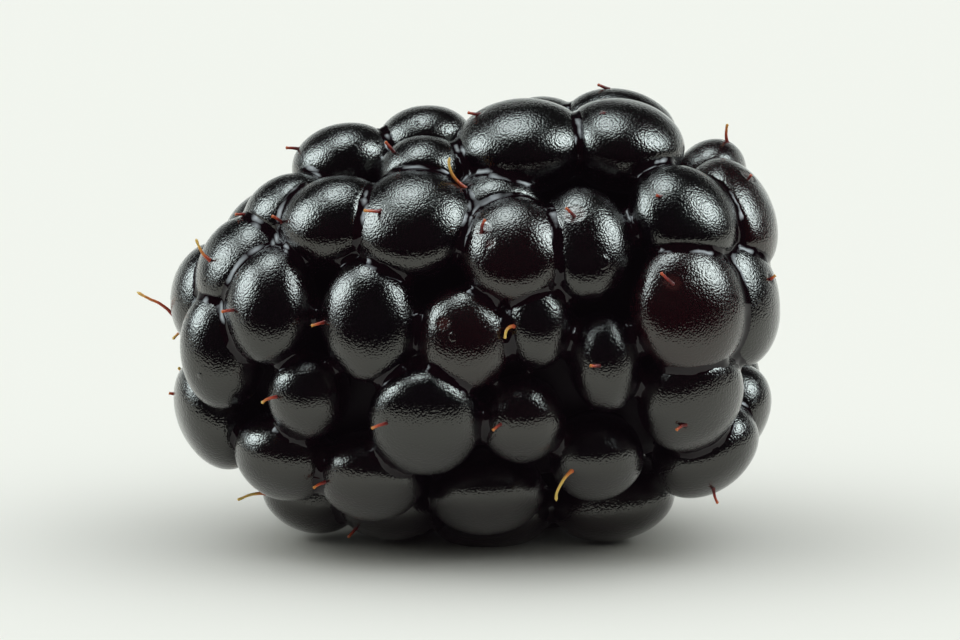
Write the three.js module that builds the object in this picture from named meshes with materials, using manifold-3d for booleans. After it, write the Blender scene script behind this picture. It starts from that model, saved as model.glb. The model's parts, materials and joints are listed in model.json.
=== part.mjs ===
// A ripe bramble berry, picked and laid on its side.
//
// Frame: millimetres, +Z up, the surface the berry lies on at z = 0. The long axis runs along +X from
// the apex (-X) to the stem end (+X) and rises a little on the way. The origin is under the middle of
// the berry's bounding box.
//
// The berry is one grown piece: drupelets seated round a fleshy core, each with a dried style, and a
// pale plug at the stem end where the stalk has come away.
import * as THREE from "three";
import { mergeVertices } from "three/addons/utils/BufferGeometryUtils.js";
import Module from "manifold-3d";

const wasm = await Module();
wasm.setup();

// How the berry lies
const axisHeight = 9.45; // the long axis over the floor, at the middle station
const axisRise = 5; // degrees, towards the stem end
const middleX = -0.73; // centre of the bounding box, moved to x = 0
const middleY = 0.085; // and to y = 0

// The seat: a rounded barrel that the drupelets' middles lie on
const seatRadius = 7.7;
const fattest = 0.6; // station of the largest radius
const nearSide = { apexReach: 12.8, stemReach: 11.4, radius: seatRadius };
const farSide = { apexReach: 11.3, stemReach: 10.7, radius: 7.45 };
const apexFullness = 2.75; // 2 is an ellipse, more is squarer
const stemFullness = 3;

// The core under the drupelets and the plug at the stem end
const coreInset = 0.1;
const plugRadius = 2.5;
const plugReach = 11.6; // station of the plug's rim
const plugDish = 0.5; // depth of the scar in its face

// Drupelets: egg-shaped, the outer half lower than the buried one
const reach = 2.1; // the top of a dome over its seat
const bulge = 0.5; // its fattest section over the seat
const dome = reach - bulge;
const root = 1.9; // from the fattest section down to the narrow root
const flare = 0.08; // the buried half spreads by this share, into its neighbours
const facetGrowth = 1.035; // makes up for the flat faces inside the round shape
const sliver = 0.02; // the joins leave no facet thinner than this
const farSpacing = 3.45; // closest two far drupelets are seated
const farReach = 3.95; // neighbours nearer than this push each other apart
const farHalfSizes = [2.0, 0.35]; // smallest, and how much more at most
const farLift = [-0.2, 0.4];
const stemHole = 3.9; // radius round the axis kept clear at the stem end
const splay = [1.15, 0.78, 1]; // drupelets lean further than the barrel's surface, to its ends and up and down
const seed = 41;

// Styles: slim three-sided spikes, square to the skin where they stand
const styleRadius = 0.09;
const styleRoot = 0.35; // how deep one starts inside its drupelet
const styleClearance = 0.5; // a tip stays this far over the floor

// The drupelets of the near side, the two limbs and the underside, from apex to stem end:
// [station, bearing, half length, half width, lift, style towards apex, style round, style length]
// Bearings are degrees round the axis: 0 faces -Y and 90 is the top. A style's place is a fraction
// of the half sizes; a length of 0 means it has dropped off.
const placed = [
  [-11.77, 53.5, 2.13, 2.29, -0.9, 0.8, -0.3, 1.8],
  [-10.52, 7.8, 1.78, 2.39, 0.0, -0.5, -0.4, 0],
  [-11.69, -50.3, 2.41, 2.4, -0.6, 0.6, 0.2, 0.5],
  [-9.65, 41.6, 2.08, 2.31, -0.3, 0.35, -0.5, 1.4],
  [-8.27, 21.4, 1.83, 2.38, 0.2, 0.4, -0.15, 0.8],
  [-7.6, 60.1, 1.96, 1.94, -0.5, 0.7, -0.2, 0.8],
  [-8.5, -36.7, 2.0, 1.97, 0.0, 0.55, 0.65, 0],
  [-7.27, -10.1, 1.6, 1.74, -0.2, 0.4, 0.3, 1.05],
  [-7.9, -85, 2.09, 2.18, -0.41, 0.85, 0.25, 1.4],
  [-5.2, 86, 2.13, 2.18, -0.33, 0.75, 0.0, 0.8],
  [-5.52, 46.8, 2.21, 2.09, 0.1, 0.85, 0.0, 0.7],
  [-4.37, 13.2, 1.96, 2.5, 0.0, 0.85, 0.0, 0.75],
  [-4.99, -40.3, 2.11, 2.2, 0.1, 0.8, 0.4, 0.85],
  [-4.5, -75, 2.2, 2.17, -0.58, 0.65, 0.35, 0.75],
  [-1.67, 93, 2.05, 2.18, -0.29, 0.5, 0.3, 0],
  [-1.78, 64, 1.84, 1.94, -0.3, 0.55, 0.15, 0.8],
  [-2.29, 40.5, 2.45, 2.47, 0.3, 0.55, -0.25, 1.15],
  [-2.47, -16.2, 2.25, 2.36, 0.6, 0.7, 0.45, 0.95],
  [-0.58, 5.5, 1.92, 2.09, 0.0, 0.4, 0.35, 0],
  [2.49, 71, 2.7, 2.78, 0.3, 0.65, 0.15, 0.7],
  [3.4, 112, 1.87, 2.31, -0.1, 0.5, 0.2, 0],
  [1.12, 48.2, 2.0, 1.73, -0.75, 0.8, 0.0, 1.8],
  [1.77, 28.9, 2.16, 2.26, 0.35, 0.5, 0.15, 1.3],
  [2.46, 8.5, 1.46, 1.91, -0.3, 0.8, 0.2, 0.8],
  [1.5, -21.7, 1.74, 1.83, -0.1, 0.55, 0.35, 0.8],
  [-0.29, -54.4, 2.32, 2.38, -0.1, 0.7, 0.35, 0],
  [-0.19, -84, 2.59, 2.31, 0.0, 0.6, 0.3, 0],
  [6.56, 107, 2.38, 2.2, 0.15, 0.45, -0.15, 0.7],
  [6.6, 72.5, 2.5, 2.72, 0.22, 0.65, -0.25, 0.3],
  [4.66, 30.6, 1.92, 2.47, 0.0, 0.45, 0.2, 1.0],
  [5.09, -5.8, 1.43, 2.01, -0.2, 0.35, 0.2, 0.85],
  [4.44, -39.7, 1.86, 2.0, 0.0, 0.65, 0.5, 1.7],
  [5.03, -81, 2.54, 2.18, 0.17, 0.6, 0.3, 0],
  [10.43, 104, 1.4, 2.16, -0.48, 0.0, -0.8, 1.2],
  [10.84, 53.1, 2.17, 2.8, -0.15, 0.35, -0.2, 0.4],
  [8.62, 39, 2.28, 2.36, 0.3, 0.8, -0.25, 0.35],
  [8.42, 8.6, 2.46, 2.64, 0.45, 0.6, 0.4, 1.3],
  [10.75, 9.1, 2.28, 2.64, -0.3, -0.15, 0.3, 0.4],
  [8.36, -21.5, 2.22, 2.38, 0.2, 0.5, 0.4, 0.8],
  [8.91, -53.9, 2.31, 2.05, 0.1, 0.35, 0.15, 0.9],
  [10.78, -78, 2.12, 2.2, -1.0, 0.2, 0.0, 0.8],
  [6.8, -112, 2.15, 2.2, -0.1, 0.5, 0.2, 0.7],
  [-9.2, 134, 2.09, 2.09, -0.9, 0.6, 0.2, 0.8],
  [-4.2, -101, 2.2, 2.2, 0.0, 0.5, 0.3, 0],
  [1.9, -113, 2.31, 2.31, 0.8, 0.5, 0.3, 0],
  [-9.2, 116, 1.76, 1.76, -2.2, 0.6, 0.2, 0],
  [-5.6, 121, 2.09, 2.09, -0.9, 0.6, 0.2, 0.6],
];

const degrees = Math.PI / 180;
const goldenAngle = Math.PI * (3 - Math.sqrt(5));

// The side of the barrel that a station is on: how far it reaches, and how full it is.
function half(shape, station) {
  const towardsApex = station < fattest;
  return {
    reach: towardsApex ? shape.apexReach : shape.stemReach,
    fullness: towardsApex ? apexFullness : stemFullness,
  };
}

function barrelRadius(shape, station) {
  const { reach, fullness } = half(shape, station);
  const share = Math.min(1, Math.abs(station - fattest) / reach);
  return shape.radius * (1 - share ** fullness) ** (1 / fullness);
}

function seatAt(station, bearing) {
  const radius = barrelRadius(nearSide, station);
  return new THREE.Vector3(station, -radius * Math.cos(bearing), radius * Math.sin(bearing));
}

// Any point, carried in or out from the middle of the berry onto the far side's barrel.
function ontoFarSide(point) {
  const { reach, fullness } = half(farSide, point.x);
  const along = (point.x - fattest) / reach;
  const across = Math.hypot(point.y, point.z) / farSide.radius;
  const scale = (Math.abs(along) ** fullness + across ** fullness) ** (-1 / fullness);
  return new THREE.Vector3(fattest + (point.x - fattest) * scale, point.y * scale, point.z * scale);
}

function seatNormal(point) {
  const { reach, fullness } = half(nearSide, point.x);
  const along = (point.x - fattest) / reach;
  const radius = Math.hypot(point.y, point.z);
  const slope = (radius / seatRadius) ** (fullness - 1) / seatRadius / radius;
  const rise = (Math.sign(along) * Math.abs(along) ** (fullness - 1)) / reach;
  const normal = new THREE.Vector3(rise, slope * point.y, slope * point.z);
  return normal.multiply(new THREE.Vector3(...splay)).normalize();
}

// Candidate seats on the far side, on a spiral round the barrel.
function farCandidates() {
  const count = 2600;
  const candidates = [];
  for (let i = 0; i < count; i += 1) {
    const along = 1 - (2 * i + 1) / count;
    const across = Math.sqrt(1 - along * along);
    const angle = i * goldenAngle;
    const start = new THREE.Vector3(12 * along, 8 * across * Math.cos(angle), 8 * across * Math.sin(angle));
    const point = ontoFarSide(start.setX(start.x + fattest));
    if (point.y > -0.6 && !inStemHole(point, 0)) candidates.push(point);
  }
  return candidates;
}

function inStemHole(point, margin) {
  return point.x > fattest + 6 && Math.hypot(point.y, point.z) < stemHole + margin;
}

// The drupelets grow packed: each new one takes the free seat that is closest to three others.
function packFarSide(seats) {
  let candidates = farCandidates();
  while (candidates.length > 0) {
    let best = null;
    let bestSum = Infinity;
    for (const point of candidates) {
      const nearest = seats.map((seat) => seat.distanceTo(point)).sort((a, b) => a - b);
      const sum = nearest[0] + nearest[1] + nearest[2];
      if (nearest[0] >= farSpacing && sum < bestSum - 1e-9) {
        best = point;
        bestSum = sum;
      }
    }
    if (!best) break;
    seats.push(best);
    candidates = candidates.filter((point) => point.distanceTo(best) >= farSpacing);
  }
}

// Neighbours that crowd each other push apart until the far side is evenly filled.
function settleFarSide(seats, first) {
  const rounds = 60;
  const push = 0.3;
  for (let round = 0; round < rounds; round += 1) {
    for (let i = first; i < seats.length; i += 1) {
      const move = new THREE.Vector3();
      seats.forEach((other, j) => {
        const gap = seats[i].distanceTo(other);
        if (j === i || gap >= farReach) return;
        move.addScaledVector(seats[i].clone().sub(other), (push * (farReach - gap)) / gap);
      });
      const moved = ontoFarSide(move.add(seats[i]));
      if (!inStemHole(moved, 0.2)) seats[i] = moved;
    }
  }
}

let state = seed;
function draw([least, range]) {
  state = (state * 16807) % 2147483647;
  return least + (range * state) / 2147483647;
}

// Every drupelet, with its seat, its three half sizes, its lift and its style.
function drupelets() {
  const rows = placed.map((row) => row.slice(2));
  const seats = placed.map(([station, bearing]) => seatAt(station, bearing * degrees));
  packFarSide(seats);
  settleFarSide(seats, placed.length);
  for (let i = placed.length; i < seats.length; i += 1) {
    const size = [draw(farHalfSizes), draw(farHalfSizes), draw(farLift)];
    rows.push([...size, draw([0.4, 0.4]), draw([-0.2, 0.5]), draw([0.5, 0.7])]);
  }
  return seats.map((seat, i) => {
    const [length, width, lift, styleApex, styleRound, styleLength] = rows[i];
    return { seat, length, width, lift, styleApex, styleRound, styleLength };
  });
}

// The frame of a drupelet, in the middle of its fattest section: x towards the stem end, y round
// the axis, z outwards from its seat.
function placement({ seat, lift }) {
  const out = seatNormal(seat);
  const bearing = Math.atan2(seat.z, -seat.y);
  const round = new THREE.Vector3(0, Math.sin(bearing), Math.cos(bearing));
  const stemward = new THREE.Vector3().crossVectors(round, out);
  const frame = new THREE.Matrix4().makeBasis(stemward, round, out);
  return frame.setPosition(seat.clone().addScaledVector(out, lift + bulge));
}

// A closed three.js geometry as a solid that can be joined and cut.
function solidOf(geometry, matrix) {
  const bare = geometry.clone();
  bare.deleteAttribute("normal");
  bare.deleteAttribute("uv");
  const merged = mergeVertices(bare, 1e-4);
  if (matrix) merged.applyMatrix4(matrix);
  const mesh = new wasm.Mesh({
    numProp: 3,
    vertProperties: new Float32Array(merged.getAttribute("position").array),
    triVerts: new Uint32Array(merged.getIndex().array),
  });
  return new wasm.Manifold(mesh);
}

// How far an egg-shaped drupelet reaches from the middle of its fattest section.
function eggReach(way, { length, width }) {
  const wider = 1 + flare * THREE.MathUtils.smoothstep(-way.z, 0, 0.8);
  const height = way.z < 0 ? root : dome;
  return 1 / Math.hypot(way.x / (length * wider), way.y / (width * wider), way.z / height);
}

// Each ball is turned by another angle, so that no two neighbours' facets line up.
function drupeletSolid(drupelet, index) {
  const ball = new THREE.IcosahedronGeometry(1, 1);
  ball.rotateZ(index * goldenAngle);
  const corners = ball.getAttribute("position");
  const way = new THREE.Vector3();
  for (let i = 0; i < corners.count; i += 1) {
    way.fromBufferAttribute(corners, i).normalize();
    const { x, y, z } = way.multiplyScalar(eggReach(way, drupelet) * facetGrowth);
    corners.setXYZ(i, x, y, z);
  }
  return solidOf(ball, placement(drupelet));
}

// A style stands square to the skin; one that would reach the floor is left out.
function styleSolid(drupelet) {
  const { length, width, styleApex, styleRound, styleLength } = drupelet;
  if (styleLength === 0) return null;
  const up = Math.sqrt(Math.max(0.05, 1 - styleApex ** 2 - styleRound ** 2));
  const foot = new THREE.Vector3(-styleApex * length, styleRound * width, up * dome);
  const lean = new THREE.Vector3(-styleApex / length, styleRound / width, up / dome).normalize();
  const spike = new THREE.ConeGeometry(styleRadius, styleLength + styleRoot, 3);
  spike.translate(0, (styleLength - styleRoot) / 2, 0);
  spike.applyQuaternion(new THREE.Quaternion().setFromUnitVectors(new THREE.Vector3(0, 1, 0), lean));
  spike.translate(foot.x, foot.y, foot.z);
  const tip = lean.multiplyScalar(styleLength).add(foot).applyMatrix4(placement(drupelet));
  if (tip.applyMatrix4(lying()).z < styleClearance) return null;
  return solidOf(spike, placement(drupelet));
}

// The core: the seat's barrel, drawn in, ending in the dished plug.
function coreSolid() {
  const steps = 12;
  const shape = {
    apexReach: nearSide.apexReach - coreInset - 0.6,
    stemReach: farSide.stemReach - coreInset,
    radius: seatRadius - coreInset,
  };
  const outline = [];
  for (let i = 0; i <= steps; i += 1) {
    const angle = (i / steps) * 0.8 * Math.PI;
    const station = fattest - half(shape, -angle).reach * Math.cos(angle);
    outline.push(new THREE.Vector2(barrelRadius(shape, station), station));
  }
  outline[0].x = 0;
  outline.push(new THREE.Vector2(plugRadius + 0.5, plugReach - 2.2));
  outline.push(new THREE.Vector2(plugRadius, plugReach - 0.3));
  outline.push(new THREE.Vector2(plugRadius - 0.3, plugReach));
  outline.push(new THREE.Vector2(plugRadius * 0.45, plugReach - plugDish));
  outline.push(new THREE.Vector2(0, plugReach - plugDish));
  const turned = new THREE.LatheGeometry(outline, 20);
  return solidOf(turned, new THREE.Matrix4().makeRotationZ(-Math.PI / 2));
}

// From the axis frame to the berry lying on its side.
function lying() {
  const tilt = new THREE.Matrix4().makeRotationY(-axisRise * degrees);
  return tilt.setPosition(-middleX, -middleY, axisHeight);
}

// The floor takes a shallow slice off the lowest drupelets, which flatten where they bear.
function floorSolid() {
  const floor = new THREE.BoxGeometry(60, 60, 10);
  floor.translate(0, 0, -5);
  return solidOf(floor);
}

function berrySolid() {
  let berry = coreSolid();
  drupelets().forEach((drupelet, index) => {
    berry = berry.add(drupeletSolid(drupelet, index));
    const style = styleSolid(drupelet);
    if (style) berry = berry.add(style);
  });
  return berry.transform(lying().elements).subtract(floorSolid()).asOriginal().simplify(sliver);
}

function meshOf(solid, name, material) {
  const { numProp, vertProperties, triVerts } = solid.getMesh();
  const geometry = new THREE.BufferGeometry();
  geometry.setAttribute("position", new THREE.BufferAttribute(new Float32Array(vertProperties), numProp));
  geometry.setIndex(new THREE.BufferAttribute(new Uint32Array(triVerts), 1));
  geometry.computeVertexNormals();
  const mesh = new THREE.Mesh(geometry, material);
  mesh.name = name;
  return mesh;
}

const skin = new THREE.MeshStandardMaterial({ color: 0x130b10, roughness: 0.28, metalness: 0 });

const group = new THREE.Group();
group.add(meshOf(berrySolid(), "bramble_berry", skin));

export default group;
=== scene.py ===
import json
import math

import bmesh
import bpy
import numpy as np
from mathutils import Matrix, Vector

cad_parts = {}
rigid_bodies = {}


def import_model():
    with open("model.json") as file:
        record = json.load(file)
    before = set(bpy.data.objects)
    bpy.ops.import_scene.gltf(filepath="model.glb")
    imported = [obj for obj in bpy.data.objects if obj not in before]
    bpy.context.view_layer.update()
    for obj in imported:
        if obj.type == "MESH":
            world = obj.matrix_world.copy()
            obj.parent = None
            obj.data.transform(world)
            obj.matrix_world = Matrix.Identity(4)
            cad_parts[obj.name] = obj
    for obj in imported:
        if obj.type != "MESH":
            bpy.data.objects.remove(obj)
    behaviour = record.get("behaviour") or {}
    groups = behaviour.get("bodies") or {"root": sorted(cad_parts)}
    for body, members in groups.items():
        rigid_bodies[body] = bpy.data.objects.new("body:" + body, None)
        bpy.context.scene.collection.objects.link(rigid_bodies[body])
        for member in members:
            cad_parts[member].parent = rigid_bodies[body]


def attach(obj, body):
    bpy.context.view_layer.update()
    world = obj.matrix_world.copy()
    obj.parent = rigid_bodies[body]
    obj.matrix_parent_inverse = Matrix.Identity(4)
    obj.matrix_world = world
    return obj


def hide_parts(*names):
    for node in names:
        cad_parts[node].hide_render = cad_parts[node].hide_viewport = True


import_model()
for name in ("Cube", "Light", "Camera"):  # the startup file's own objects
    if name in bpy.data.objects:
        bpy.data.objects.remove(bpy.data.objects[name])
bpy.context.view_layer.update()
scene = bpy.context.scene
mm = 0.001


# How the berry lies, and the seats of its drupelets. Lengths are in millimetres.

lie = {
    "axisHeight": 9.45,  # the long axis over the floor, at the middle station
    "axisRise": 5,  # degrees, towards the stem end
    "middle": (-0.73, 0.085),  # centre of the bounding box, moved to the origin
}

seat = {
    "fattest": 0.6,  # station of the largest radius
    "near": {"apexReach": 12.8, "stemReach": 11.4, "radius": 7.7},
    "far": {"apexReach": 11.3, "stemReach": 10.7, "radius": 7.45},
    "apexFullness": 2.75,  # 2 is an ellipse, more is squarer
    "stemFullness": 3,
    "splay": (1.15, 0.78, 1),  # how far drupelets lean to the ends, to the sides and up and down
    "stemHole": 3.9,  # radius round the axis kept clear at the stem end
    "holeStart": 6,  # the hole starts this far past the fattest station
}

farSide = {
    "edge": -0.6,  # it starts here, just in front of the middle
    "trialSeats": 2600,
    "trialReach": (12, 8),  # half length and radius of the ellipsoid that they are spread on
    "spacing": 3.45,  # closest two drupelets are seated
    "reach": 3.95,  # neighbours nearer than this push each other apart
    "push": 0.3,  # by this share of what is missing
    "pushes": 60,
    "holeMargin": 0.2,  # none is pushed nearer to the stem hole than this
    "halfSizes": (2.0, 0.35),  # of each random range: the smallest, and how much more at most
    "lift": (-0.2, 0.4),
    "style": ((0.4, 0.4), (-0.2, 0.5), (0.5, 0.7)),  # towards apex, round, length
    "seed": 41,
}

# The drupelets of the near side, the two limbs and the underside, from apex to stem end:
# (station, bearing, half length, half width, lift, style towards apex, style round, style length)
# A bearing of 0 degrees faces -Y and 90 is the top. A style's place is a fraction of the half
# sizes, and a length of 0 means it has dropped off.
placed = [
    (-11.77, 53.5, 2.13, 2.29, -0.9, 0.7, -0.02, 1.8),
    (-10.52, 7.8, 1.78, 2.39, 0.0, -0.5, -0.4, 0),
    (-11.69, -50.3, 2.41, 2.4, -0.6, 0.6, 0.1, 0.5),
    (-9.65, 41.6, 2.08, 2.31, -0.3, 0.06, -0.15, 1.4),
    (-8.27, 21.4, 1.83, 2.38, 0.2, 0.4, -0.15, 0.8),
    (-7.6, 60.1, 1.96, 1.94, -0.5, 0.7, -0.2, 0.8),
    (-8.5, -36.7, 2.0, 1.97, 0.0, 0.55, 0.65, 0),
    (-7.27, -10.1, 1.6, 1.74, -0.2, 0.4, 0.3, 1.05),
    (-7.9, -85, 2.09, 2.18, -0.41, 0.85, 0.42, 1.4),
    (-5.2, 86, 2.13, 2.18, -0.33, 0.75, 0.0, 0.8),
    (-5.52, 46.8, 2.21, 2.09, 0.1, 0.85, -0.12, 0.7),
    (-4.37, 13.2, 1.96, 2.5, 0.0, 0.85, 0.0, 0.75),
    (-4.99, -40.3, 2.11, 2.2, 0.1, 0.72, 0.4, 0.85),
    (-4.5, -75, 2.2, 2.17, -0.58, 0.58, 0.35, 0.75),
    (-1.67, 93, 2.05, 2.18, -0.29, 0.5, 0.3, 0),
    (-1.78, 64, 1.84, 1.94, -0.3, 0.55, -0.08, 0.8),
    (-2.29, 40.5, 2.45, 2.47, 0.3, 0.46, -0.13, 1.15),
    (-2.47, -16.2, 2.25, 2.36, 0.6, 0.6, 0.3, 0.95),
    (-0.58, 5.5, 1.92, 2.09, 0.0, 0.4, 0.35, 0),
    (2.49, 71, 2.7, 2.78, 0.3, 0.65, 0.15, 0.7),
    (3.4, 112, 1.87, 2.31, -0.1, 0.5, 0.2, 0),
    (1.12, 48.2, 2.0, 1.73, -0.75, 0.54, 0.05, 1.8),
    (1.77, 28.9, 2.16, 2.26, 0.35, 0.58, 0.15, 1.3),
    (2.46, 8.5, 1.46, 1.91, -0.3, 0.63, -0.05, 0.8),
    (1.5, -21.7, 1.74, 1.83, -0.1, 0.47, 0.45, 0.8),
    (-0.29, -54.4, 2.32, 2.38, -0.1, 0.7, 0.35, 0),
    (-0.19, -84, 2.59, 2.31, 0.0, 0.6, 0.3, 0),
    (6.56, 107, 2.38, 2.2, 0.15, 0.3, -0.15, 0.7),
    (6.6, 72.5, 2.5, 2.72, 0.22, 0.65, -0.25, 0),
    (4.66, 30.6, 1.92, 2.47, 0.0, 0.26, 0.2, 1.0),
    (5.09, -5.8, 1.43, 2.01, -0.2, 0.35, 0.2, 0.85),
    (4.44, -39.7, 1.86, 2.0, 0.0, 0.58, 0.5, 1.7),
    (5.03, -81, 2.54, 2.18, 0.17, 0.6, 0.3, 0),
    (10.43, 104, 1.4, 2.16, -0.48, 0.32, -0.2, 1.2),
    (10.84, 53.1, 2.17, 2.8, -0.15, 0.35, 0.26, 0.4),
    (8.62, 39, 2.28, 2.36, 0.3, 0.75, -0.03, 0.35),
    (8.42, 8.6, 2.46, 2.64, 0.45, 0.6, 0.4, 1.3),
    (10.75, 9.1, 2.28, 2.64, -0.3, -0.15, 0.3, 0.4),
    (8.36, -21.5, 2.22, 2.38, 0.2, 0.57, -0.02, 0.8),
    (8.91, -53.9, 2.31, 2.05, 0.1, 0.35, 0.15, 0.9),
    (10.78, -78, 2.12, 2.2, -1.0, 0.2, 0.0, 0.8),
    (6.8, -112, 2.15, 2.2, -0.1, 0.5, 0.2, 0.7),
    (-9.2, 134, 2.09, 2.09, -0.9, 0.6, 0.2, 0.8),
    (-4.2, -101, 2.2, 2.2, 0.0, 0.5, 0.3, 0),
    (1.9, -113, 2.31, 2.31, 0.8, 0.5, 0.3, 0),
    (-9.2, 116, 1.76, 1.76, -2.2, 0.6, 0.2, 0),
    (-5.6, 121, 2.09, 2.09, -0.9, 0.6, 0.2, 0.6),
]

goldenAngle = math.pi * (3 - math.sqrt(5))


def halfOf(shape, station):
    if station < seat["fattest"]:
        return shape["apexReach"], seat["apexFullness"]
    return shape["stemReach"], seat["stemFullness"]


def barrelRadius(shape, station):
    reach, fullness = halfOf(shape, station)
    share = min(1, abs(station - seat["fattest"]) / reach)
    return shape["radius"] * (1 - share**fullness) ** (1 / fullness)


def seatAt(station, bearing):
    radius = barrelRadius(seat["near"], station)
    return np.array([station, -radius * math.cos(bearing), radius * math.sin(bearing)])


def ontoFarSide(point):
    reach, fullness = halfOf(seat["far"], point[0])
    along = (point[0] - seat["fattest"]) / reach
    across = math.hypot(point[1], point[2]) / seat["far"]["radius"]
    scale = (abs(along) ** fullness + across**fullness) ** (-1 / fullness)
    station = seat["fattest"] + (point[0] - seat["fattest"]) * scale
    return np.array([station, point[1] * scale, point[2] * scale])


def seatNormal(point):
    reach, fullness = halfOf(seat["near"], point[0])
    along = (point[0] - seat["fattest"]) / reach
    radius = math.hypot(point[1], point[2])
    slope = (radius / seat["near"]["radius"]) ** (fullness - 1) / seat["near"]["radius"] / radius
    rise = math.copysign(abs(along) ** (fullness - 1), along) / reach
    normal = np.array([rise, slope * point[1], slope * point[2]]) * seat["splay"]
    return normal / np.linalg.norm(normal)


def inStemHole(point, margin=0):
    past = point[0] > seat["fattest"] + seat["holeStart"]
    return past and math.hypot(point[1], point[2]) < seat["stemHole"] + margin


def trialSeats():
    found = []
    length, width = farSide["trialReach"]
    for i in range(farSide["trialSeats"]):
        along = 1 - (2 * i + 1) / farSide["trialSeats"]
        across = width * math.sqrt(1 - along * along)
        station, angle = seat["fattest"] + length * along, i * goldenAngle
        point = ontoFarSide([station, across * math.cos(angle), across * math.sin(angle)])
        if point[1] > farSide["edge"] and not inStemHole(point):
            found.append(point)
    return np.array(found)


def packFarSide(seats):  # each new drupelet takes the free seat that is closest to three others
    trials = trialSeats()
    while len(trials):
        gaps = np.linalg.norm(trials[:, None] - np.array(seats)[None], axis=2)
        gaps.sort(axis=1)
        sums = np.where(gaps[:, 0] >= farSide["spacing"], gaps[:, :3].sum(axis=1), np.inf)
        if not np.isfinite(sums.min()):
            break
        best = trials[np.argmax(sums < sums.min() + 1e-9)]
        seats.append(best)
        trials = trials[np.linalg.norm(trials - best, axis=1) >= farSide["spacing"]]


def settleFarSide(seats, first):  # neighbours that crowd each other push apart
    for _ in range(farSide["pushes"]):
        for i in range(first, len(seats)):
            move = np.zeros(3)
            for j, other in enumerate(seats):
                gap = np.linalg.norm(seats[i] - other)
                if j != i and gap < farSide["reach"]:
                    move += (seats[i] - other) * farSide["push"] * (farSide["reach"] - gap) / gap
            moved = ontoFarSide(move + seats[i])
            if not inStemHole(moved, farSide["holeMargin"]):
                seats[i] = moved


def drawer(state):  # a repeatable row of random numbers
    def draw(least, spread):
        nonlocal state
        state = state * 16807 % 2147483647
        return least + spread * state / 2147483647
    return draw


def lieDown(points, turnOnly=False):  # from the axis frame to the berry on its side
    tilt = np.array(Matrix.Rotation(math.radians(-lie["axisRise"]), 3, "Y"))
    turned = np.asarray(points) @ tilt.T
    if turnOnly:
        return turned
    return turned + np.array([-lie["middle"][0], -lie["middle"][1], lie["axisHeight"]])


# The drupelets' sizes, frames and styles

drupelet = {
    "reach": 2.1,  # the top of a dome over its seat
    "bulge": 0.5,  # the fattest section over the seat
    "root": 1.9,  # from there down to the narrow root
    "fullness": 2.0,  # of a dome's profile: 2 is an ellipse, more has a flatter top and rounder shoulders
    "flare": 0.08,  # the buried part is this much wider, until neighbours stop it
    "flareDepth": 0.8,  # and is so from here down
    "growth": 1.055,  # grown until it presses on its neighbours
    "gap": 0.045,  # each stands back this far from the middle plane
    "leastReach": 0.3,  # none is pressed back closer to its centre than this
    "yield": 1.2,  # one that is seated higher swells past the middle plane by this share of the difference
    "creaseSharpness": 26.0,
    "lump": 0.05,  # slow unevenness of the skin
    "lumpScale": 0.42,  # per millimetre
    "pitDepth": 0.025,
    "pitWidth": 0.14,
    "pitRim": 0.22,  # height of the low rim round a pit, as a share of its depth
    "outerShare": 0.4,  # faces gathered to the outer side
    "detail": 5,  # steps of the ball's subdivision
    "wine": {36: 0.5, 34: 0.55, 22: 0.3, 18: 0.35, 33: 0.5},  # drupelets that are less ripe
    "tints": (0.0, 0.1),  # of all the others
    "tintSeed": 7,
}


def gather(rows):
    return {name: np.array([row[name] for row in rows]) for name in rows[0]}


def layDrupelets():
    seats = [seatAt(row[0], math.radians(row[1])) for row in placed]
    packFarSide(seats)
    settleFarSide(seats, len(placed))
    draw = drawer(farSide["seed"])
    drawn = [farSide["halfSizes"], farSide["halfSizes"], farSide["lift"], *farSide["style"]]
    rows = [row[2:] for row in placed]
    rows += [[draw(*span) for span in drawn] for _ in range(len(placed), len(seats))]
    dome = drupelet["reach"] - drupelet["bulge"]
    laid = []
    for spot, (length, width, lift, styleApex, styleRound, styleLength) in zip(seats, rows):
        outward = seatNormal(spot)
        bearing = math.atan2(spot[2], -spot[1])
        roundward = np.array([0, math.sin(bearing), math.cos(bearing)])
        stemward = np.cross(roundward, outward)
        up = math.sqrt(max(0.05, 1 - styleApex**2 - styleRound**2))
        pit = -styleApex * length * stemward + styleRound * width * roundward + up * dome * outward
        laid.append({
            "centre": lieDown(spot + outward * (lift + drupelet["bulge"])),
            "stemward": lieDown(stemward, True),
            "roundward": lieDown(roundward, True),
            "outward": lieDown(outward, True),
            "half": [length, width, dome],
            "lift": lift,
            "pit": lieDown(pit / np.linalg.norm(pit), True),
            "style": styleLength,
        })
    return gather(laid)


berry = layDrupelets()
count = len(berry["centre"])
print("drupelets laid out:", count)


# Short ways to add nodes

def plug(tree, socket, value):
    if isinstance(value, bpy.types.NodeSocket):
        tree.links.new(value, socket)
    else:
        socket.default_value = value


def addNode(tree, kind, inputs=None, **settings):
    made = tree.nodes.new(kind)
    for name, value in settings.items():
        setattr(made, name, value)
    for name, value in (inputs or {}).items():
        plug(tree, made.inputs[name], value)
    return made


def calc(tree, operation, *terms):
    return addNode(tree, "ShaderNodeMath", dict(enumerate(terms)), operation=operation).outputs[0]


def add(tree, first, second):
    return calc(tree, "ADD", first, second)


def subtract(tree, first, second):
    return calc(tree, "SUBTRACT", first, second)


def times(tree, first, second):
    return calc(tree, "MULTIPLY", first, second)


def over(tree, first, second):
    return calc(tree, "DIVIDE", first, second)


def bell(tree, offset):  # 1 at no offset, and falling away on both sides
    return calc(tree, "EXPONENT", times(tree, times(tree, offset, offset), -1.0))


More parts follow.
